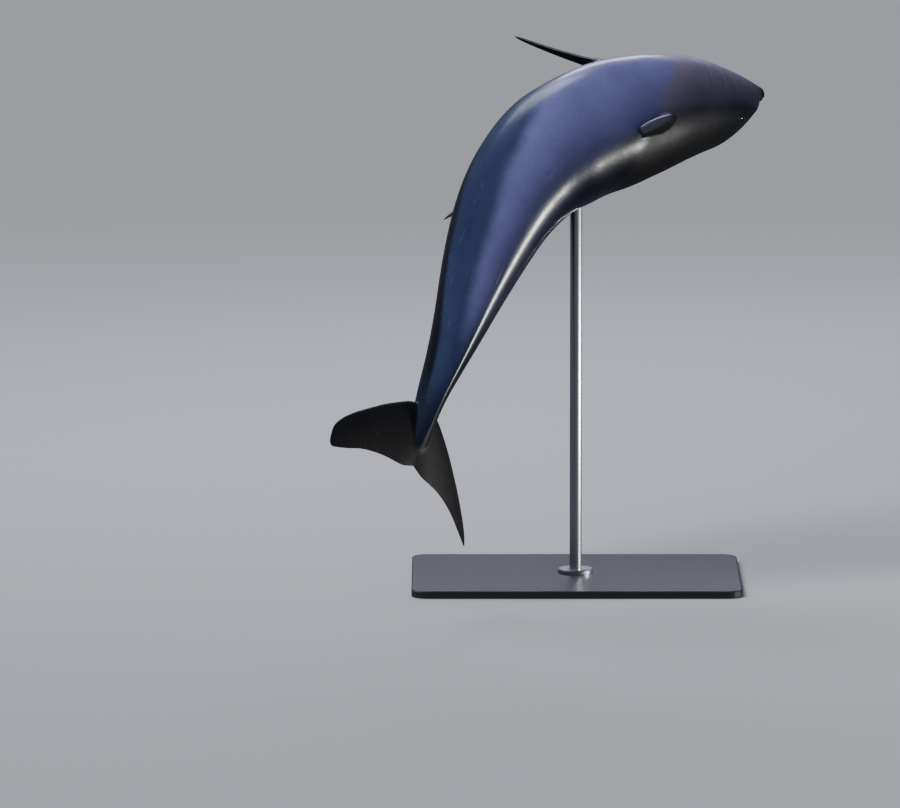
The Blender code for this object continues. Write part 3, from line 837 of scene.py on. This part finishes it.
class Graph:
    """A material's nodes, made in order and linked by name."""

    def __init__(self, name):
        self.material = bpy.data.materials.new(name)
        self.material.use_nodes = True
        self.tree = self.material.node_tree
        self.surface = self.tree.nodes["Principled BSDF"]

    def put(self, target, value):
        if isinstance(value, bpy.types.NodeSocket):
            self.tree.links.new(value, target)
        else:
            target.default_value = value

    def settle(self, **values):
        for name, value in values.items():
            self.put(self.surface.inputs[name.replace("_", " ")], value)

    def attribute(self, name):
        node = self.tree.nodes.new("ShaderNodeAttribute")
        node.attribute_name = name
        return node.outputs["Fac"]

    def math(self, kind, first, second=0.0, clamp=False):
        node = self.tree.nodes.new("ShaderNodeMath")
        node.operation = kind
        node.use_clamp = clamp
        self.put(node.inputs[0], first)
        self.put(node.inputs[1], second)
        return node.outputs[0]

    def line(self, value, slope, start):
        """The value times a slope, added to a start."""
        return self.math("ADD", self.math("MULTIPLY", value, slope), start)

    def blend(self, share, first, second, kind="MIX"):
        """Two colours mixed by a share, or multiplied."""
        node = self.tree.nodes.new("ShaderNodeMix")
        node.data_type = "RGBA"
        node.blend_type = kind
        self.put(node.inputs["Factor"], share)
        self.put(node.inputs[6], first)
        self.put(node.inputs[7], second)
        return node.outputs[2]

    def place(self, stretch=(1.0, 1.0, 1.0)):
        coordinates = self.tree.nodes.new("ShaderNodeTexCoord")
        mapping = self.tree.nodes.new("ShaderNodeMapping")
        mapping.inputs["Scale"].default_value = stretch
        self.tree.links.new(coordinates.outputs["Object"], mapping.inputs["Vector"])
        return mapping.outputs[0]

    def noise(self, scale, detail=2.0, roughness=0.5, vector=None):
        node = self.tree.nodes.new("ShaderNodeTexNoise")
        node.inputs["Scale"].default_value = scale
        node.inputs["Detail"].default_value = detail
        node.inputs["Roughness"].default_value = roughness
        self.put(node.inputs["Vector"], vector or self.place())
        return node.outputs["Fac"]

    def step(self, value, low, high):
        """0 below low and 1 above high, smoothly; low may be the higher of the two."""
        node = self.tree.nodes.new("ShaderNodeMapRange")
        node.interpolation_type = "SMOOTHSTEP"
        self.put(node.inputs["Value"], value)
        node.inputs["From Min"].default_value = low
        node.inputs["From Max"].default_value = high
        return node.outputs[0]

    def relief(self, height, distance, strength=1.0, below=None):
        node = self.tree.nodes.new("ShaderNodeBump")
        node.inputs["Distance"].default_value = distance
        node.inputs["Strength"].default_value = strength
        self.put(node.inputs["Height"], height)
        if below is not None:
            self.tree.links.new(below, node.inputs["Normal"])
        return node.outputs[0]


def colour(red, green, blue):
    return (red, green, blue, 1.0)


def skin_tone(graph, mottle):
    """The skin's colour: each marking is blended over the one before, with edges that the
    mottling moves. Flank, belly and tail stock carry a blue tint that is painted sky reflection;
    the near flipper's pale face is partly painted light; the dark line along the mouth groove
    and the blowhole's slot are painted shade. The blowhole is a bowed slot, and scratches are
    long thin cells of noise."""
    uneven = graph.math("MULTIPLY", graph.math("SUBTRACT", mottle, 0.5), UNEVEN)
    cape = graph.math("ADD", graph.attribute("cape"), uneven, clamp=True)
    pale = graph.math("ADD", graph.attribute("pale"), uneven, clamp=True)
    ahead = graph.math(
        "ADD", graph.attribute("warm"), graph.math("MULTIPLY", uneven, WARM_UNEVEN)
    )
    # The flank, belly and tail stock colours carry a blue tint over their own grey: painted sky
    # reflection.
    tone = graph.blend(graph.step(cape, *CAPE_STEP), colour(*FLANK_WITH_SKY_TINT), colour(*CAPE))
    tone = graph.blend(graph.step(pale, *PALE_STEP), tone, colour(*PALE_WITH_SKY_TINT))
    warm = graph.blend(graph.step(ahead, *WARM_STEP), colour(1, 1, 1), colour(*WARM_TINT))
    tone = graph.blend(1.0, tone, warm, "MULTIPLY")
    tone = graph.blend(graph.step(graph.attribute("tail"), 0.0, 1.0), tone, colour(*TAIL_STOCK_WITH_SKY_TINT))
    # Fins are charcoal and turn pale where the pale mask reaches them: partly a paler underside,
    # partly painted light on the near flipper.
    fin_tone_pale_and_lit = graph.blend(graph.step(pale, *FIN_PALE_AND_LIT_STEP), colour(*FIN_DARK), colour(*FIN_PALE_AND_LIT))
    tone = graph.blend(graph.step(graph.attribute("fin"), *FIN_STEP), tone, fin_tone_pale_and_lit)
    lined = graph.math("MULTIPLY", graph.attribute("line"), LINE_SHARE)
    # Dark face lines: eye stripe, eye ring and beak tip, and painted shade along the mouth groove.
    tone = graph.blend(lined, tone, colour(*FACE_LINE_AND_SHADE))
    # Painted shade: the blowhole's slot is darkened the way its recess would be in shade.
    hole = blowhole_share(graph)
    tone = graph.blend(hole, tone, colour(*BLOWHOLE_SHADE))
    cells = graph.noise(*SCRATCHES, graph.place(SCRATCH_STRETCH))
    scratched = graph.math("MULTIPLY", graph.step(cells, *SCRATCH_STEP), SCRATCH_SHARE)
    tone = graph.blend(scratched, tone, colour(*SCRATCH))
    shade = graph.math(
        "MULTIPLY", graph.line(graph.noise(*GRAIN), *FINE_SHADE),
        graph.line(graph.noise(*CLOUDS), *CLOUD_SHADE),
    )
    return graph.blend(1.0, tone, shade, "MULTIPLY"), pale, hole


def blowhole_share(graph):
    """One inside a slot across the head, bowed back as the square of the distance across."""
    from_hole = graph.math(
        "MULTIPLY", graph.math("SUBTRACT", graph.attribute("station"), BLOWHOLE_AT), LENGTH
    )
    across = graph.math("MULTIPLY", graph.attribute("turn"), np.pi * BLOWHOLE_RADIUS)
    bow = graph.math("MULTIPLY", graph.math("MULTIPLY", across, across), BLOWHOLE_BOW)
    from_lip = graph.math("ADD", graph.math("SUBTRACT", from_hole, BLOWHOLE_SET_BACK), bow)
    return graph.math(
        "MULTIPLY", graph.step(graph.math("ABSOLUTE", from_lip), *BLOWHOLE_SLOT),
        graph.step(across, *BLOWHOLE_ENDS),
    )


def skin_material():
    """Countershaded skin, charcoal on fins and flukes, with a wet coat that is thicker on the
    belly and missing on the head and fins, and low swells and ripples in its surface."""
    graph = Graph("wet_skin")
    mottle = graph.noise(*MOTTLE)
    tone, pale, hole = skin_tone(graph, mottle)
    blades = graph.math("MAXIMUM", graph.attribute("fin"), graph.attribute("tail"))
    on_fin = graph.step(blades, *BLADE_STEP)
    dull = graph.step(graph.attribute("warm"), *DULL_STEP)
    gloss = graph.line(mottle, *ROUGHNESS)
    gloss = graph.math("ADD", gloss, graph.math("MULTIPLY", on_fin, FIN_ROUGHER))
    gloss = graph.math("ADD", gloss, graph.math("MULTIPLY", dull, HEAD_ROUGHER))
    bare = graph.math("SUBTRACT", 1.0, graph.math("MAXIMUM", on_fin, dull))
    wet = graph.math("MULTIPLY", bare, graph.line(pale, *WETNESS))
    soft = graph.relief(graph.noise(*SWELLS), *SWELL_RELIEF)
    ripple = graph.relief(graph.noise(*RIPPLES), *RIPPLE_RELIEF, soft)
    folded = graph.relief(graph.math("MULTIPLY", hole, -1.0), *BLOWHOLE_RELIEF, ripple)
    graph.settle(
        Base_Color=tone, Roughness=gloss, Normal=folded, IOR=1.36, Specular_IOR_Level=0.3,
        Coat_Weight=wet, Coat_Roughness=0.16, Coat_IOR=1.33,
    )
    graph.tree.links.new(soft, graph.surface.inputs["Coat Normal"])
    return graph.material


def eye_material():
    """A dark brown eye with a black pupil as a wide oval about the ball's own pole."""
    graph = Graph("wet_eye")
    pole = graph.attribute("pole")
    tone = graph.blend(graph.step(pole, 0.26, 0.30), colour(*PUPIL), colour(*IRIS))
    tone = graph.blend(graph.step(pole, 0.62, 0.78), tone, colour(*EYE_RIM))
    graph.settle(Base_Color=tone, Roughness=0.10, Coat_Weight=1.0, Coat_Roughness=0.02)
    return graph.material


def steel_material():
    """Satin steel with a fine drawn grain."""
    graph = Graph("satin_steel")
    grain = graph.noise(*GRAIN, graph.place((1.0, 1.0, 0.03)))
    graph.settle(
        Base_Color=colour(*STEEL), Metallic=1.0, Roughness=graph.line(grain, 0.14, 0.24),
        Normal=graph.relief(grain, 0.0002, 0.3),
    )
    return graph.material


def paint_material():
    """Satin black paint with a faint orange-peel."""
    graph = Graph("satin_paint")
    peel = graph.noise(*ORANGE_PEEL)
    graph.settle(
        Base_Color=colour(*PAINT), Roughness=graph.line(peel, 0.10, 0.36),
        Normal=graph.relief(peel, 0.0003, 0.25),
    )
    return graph.material


def floor_material():
    graph = Graph("studio_floor")
    graph.settle(Base_Color=colour(*FLOOR), Roughness=0.90)
    return graph.material


# ------------------------------------------------------------------------------------------------
# The animal
# ------------------------------------------------------------------------------------------------
def build_skin():
    """The body and all fins as one surface, in place of every flesh node."""
    at, angle = body_grid()
    body = tube("skin", body_points(at, angle), BODY_ISLAND)
    fins = [
        tube("flukes", fluke_points(), FLUKE_ISLAND),
        tube("back_fin", dorsal_fin_points(), DORSAL_ISLAND),
    ]
    for hold, island in zip(FLIPPER_HOLDS, FLIPPER_ISLANDS):
        fins.append(tube(hold[0] + "_skin", flipper_points(hold), island))
    mesh = joined(body, fins)
    add_markings(mesh, smooth_joins(mesh))
    mesh.materials.clear()
    mesh.materials.append(skin_material())
    mesh.shade_smooth()
    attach(body, "root")
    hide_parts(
        "upper_beak", "melon", "lower_jaw", "head", "neck", "chest", "trunk", "loin",
        "tail_stock", "peduncle", "dorsal_fin", "flipper_left", "flipper_right", "fluke_left",
        "fluke_right",
    )


def build_eye(name, side, finish):
    """A ball: rings round the way it looks out, each ring's radius a sine and its height a
    cosine of the angle from the pole; the pole attribute holds that angle, less along the
    body so that the pupil is a wide oval."""
    turn = side * np.radians(EYE_ANGLE)
    surface = plain_skin(EYE_AT, turn)
    forward, back, right = frames(np.array(EYE_AT))
    outward = np.cos(turn) * back + np.sin(turn) * right
    middle = surface - EYE_SINK * outward
    upward = np.cross(outward, forward)
    tilt = np.linspace(EYE_POLE, np.pi - EYE_POLE, EYE_RINGS)[:, None]
    around = np.linspace(0, 2 * np.pi, EYE_COLUMNS, endpoint=False)[None, :]
    rings = middle + EYE_RADIUS * (
        (np.cos(tilt) * np.ones_like(around))[..., None] * outward
        + (np.sin(tilt) * np.cos(around))[..., None] * forward
        + (np.sin(tilt) * np.sin(around))[..., None] * upward
    )
    ball = tube(name + "_ball", rings, EYE_ISLAND)
    seen = (read(ball.data.vertices, "co", 3) - middle) / EYE_RADIUS
    oval = np.hypot(PUPIL_LENGTHENING * (seen @ forward), seen @ upward)
    store(ball.data, "pole", np.where(seen @ outward > 0, oval, 1.0))
    ball.data.materials.append(finish)
    ball.data.shade_smooth()
    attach(ball, "root")
    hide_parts(name)


def dress_stand():
    """The stand's own solids, in steel and paint."""
    steel = steel_material()
    for name, finish in (
        ("stand_base", paint_material()), ("stand_flange", steel), ("stand_rod", steel),
    ):
        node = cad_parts[name]
        node.data.materials.clear()
        node.data.materials.append(finish)


# ------------------------------------------------------------------------------------------------
# Studio
# ------------------------------------------------------------------------------------------------
CAMERA_DISTANCE = 40.0
CAMERA_ELEVATION = 8.0
CAMERA_LENS = 406.1
CAMERA_SENSOR = 36.0
CAMERA_REACH = 400.0
LOOKS_AT = Vector((-0.3973, -0.0243, 0.7317))
FLOOR_HALF = 150.0
SKY_COLOUR = (0.74, 0.80, 1.0, 1.0)
SKY_STRENGTH = 0.13
KEY_STRENGTH = 3.5
KEY_ANGLE = 40.0
KEY_COLOUR = (0.93, 0.95, 1.0)
KEY_PLACE = (-5.5, -4.2, 8.3)
KEY_TARGET = (0, 0, 1.2)
# Name, place, target, size, power, colour, and whether it gives reflections only
SOFT_LIGHTS = (
    ("glint", (2.7, -0.35, 0.45), (0, 0, 1.3), (0.5, 0.3), 85.0, (1.0, 0.98, 0.95), True),
    ("rim", (-2.5, 4.0, 6.5), (0, 0, 1.6), (3.0, 3.0), 200.0, (0.80, 0.86, 1.0), False),
    ("back", (0.6, 9.0, 6.0), (0.2, 0, 1.8), (5.0, 1.2), 230.0, (0.80, 0.76, 1.0), False),
)


def aim(made, target):
    made.rotation_euler = (Vector(target) - made.location).to_track_quat("-Z", "Y").to_euler()


def soft_light(name, place, target, size, power, tint, sheen_only):
    data = bpy.data.lights.new(name, "AREA")
    data.shape = "RECTANGLE"
    data.size, data.size_y = size
    data.energy = power
    data.color = tint
    made = put_in(name, data)
    made.location = place
    made.visible_camera = False
    made.visible_diffuse = not sheen_only
    aim(made, target)


def build_floor():
    """A square floor that sends no light or reflection back, so that undersides stay dark."""
    half = FLOOR_HALF
    mesh = bpy.data.meshes.new("floor")
    mesh.from_pydata(
        [(-half, -half, 0), (half, -half, 0), (half, half, 0), (-half, half, 0)], [],
        [(0, 1, 2, 3)],
    )
    mesh.materials.append(floor_material())
    floor = put_in("floor", mesh)
    floor.visible_diffuse = False
    floor.visible_glossy = False


def build_lights():
    world = bpy.data.worlds.new("studio")
    bpy.context.scene.world = world
    world.use_nodes = True
    sky = world.node_tree.nodes["Background"]
    sky.inputs["Color"].default_value = SKY_COLOUR
    sky.inputs["Strength"].default_value = SKY_STRENGTH
    key = bpy.data.lights.new("key", "SUN")
    key.energy = KEY_STRENGTH
    key.angle = np.radians(KEY_ANGLE)
    key.color = KEY_COLOUR
    sun = put_in("key", key)
    sun.location = KEY_PLACE
    sun.visible_glossy = False
    aim(sun, KEY_TARGET)
    for light in SOFT_LIGHTS:
        soft_light(*light)


def build_camera():
    data = bpy.data.cameras.new("camera")
    data.sensor_width = CAMERA_SENSOR
    data.lens = CAMERA_LENS
    data.clip_end = CAMERA_REACH
    camera = put_in("camera", data)
    tilt = np.radians(CAMERA_ELEVATION)
    way = Vector((0.0, float(np.cos(tilt)), -float(np.sin(tilt))))
    camera.location = LOOKS_AT - way * CAMERA_DISTANCE
    aim(camera, LOOKS_AT)
    bpy.context.scene.camera = camera


build_skin()
eye_finish = eye_material()
build_eye("eye_right", 1.0, eye_finish)
build_eye("eye_left", -1.0, eye_finish)
dress_stand()
build_floor()
build_lights()
build_camera()

bpy.context.view_layer.update()
